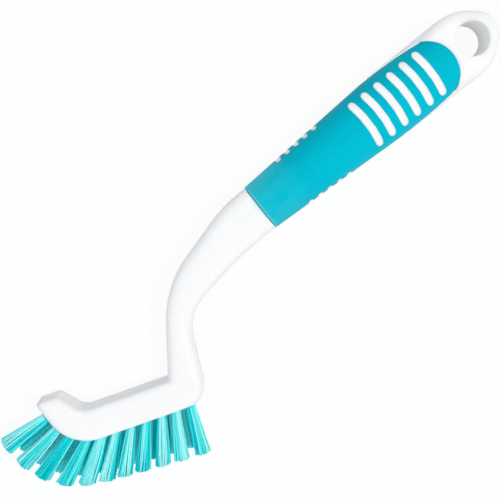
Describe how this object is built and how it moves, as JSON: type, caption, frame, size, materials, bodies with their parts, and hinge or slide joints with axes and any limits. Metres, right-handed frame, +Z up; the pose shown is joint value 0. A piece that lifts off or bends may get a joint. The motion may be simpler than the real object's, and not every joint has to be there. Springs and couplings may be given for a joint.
{
  "type": "grout brush",
  "caption": "Hand brush with a bent neck, a hooked slim head, fanned rows of bristle tufts, a soft overmoulded grip with slots and a hanging hole.",
  "frame": {"origin": "bottom centre of the brush's box, with the brush lying on its side", "axes": "+X along the handle from the head towards the hanging hole, +Y away from the bristles, +Z up, across the brush"},
  "size_m": [0.2438, 0.0732, 0.0208],
  "materials": {
    "white_plastic": "satin moulded polypropylene",
    "soft_grip": "matt soft-touch thermoplastic rubber",
    "bristles": "stiff translucent nylon filament",
    "anchor_wire": "plain flat wire"
  },
  "bodies": {
    "root": {"handle_body": "white_plastic", "soft_grip": "soft_grip", "front_tuft_01": "bristles", "front_tuft_02": "bristles", "front_tuft_03": "bristles", "front_tuft_04": "bristles", "front_tuft_05": "bristles", "front_tuft_06": "bristles", "front_tuft_07": "bristles", "front_tuft_08": "bristles", "front_tuft_09": "bristles", "front_tuft_10": "bristles", "front_tuft_11": "bristles", "back_tuft_01": "bristles", "back_tuft_02": "bristles", "back_tuft_03": "bristles", "back_tuft_04": "bristles", "back_tuft_05": "bristles", "back_tuft_06": "bristles", "back_tuft_07": "bristles", "back_tuft_08": "bristles", "back_tuft_09": "bristles", "back_tuft_10": "bristles", "tuft_anchors": "anchor_wire"}
  },
  "joints": []
}
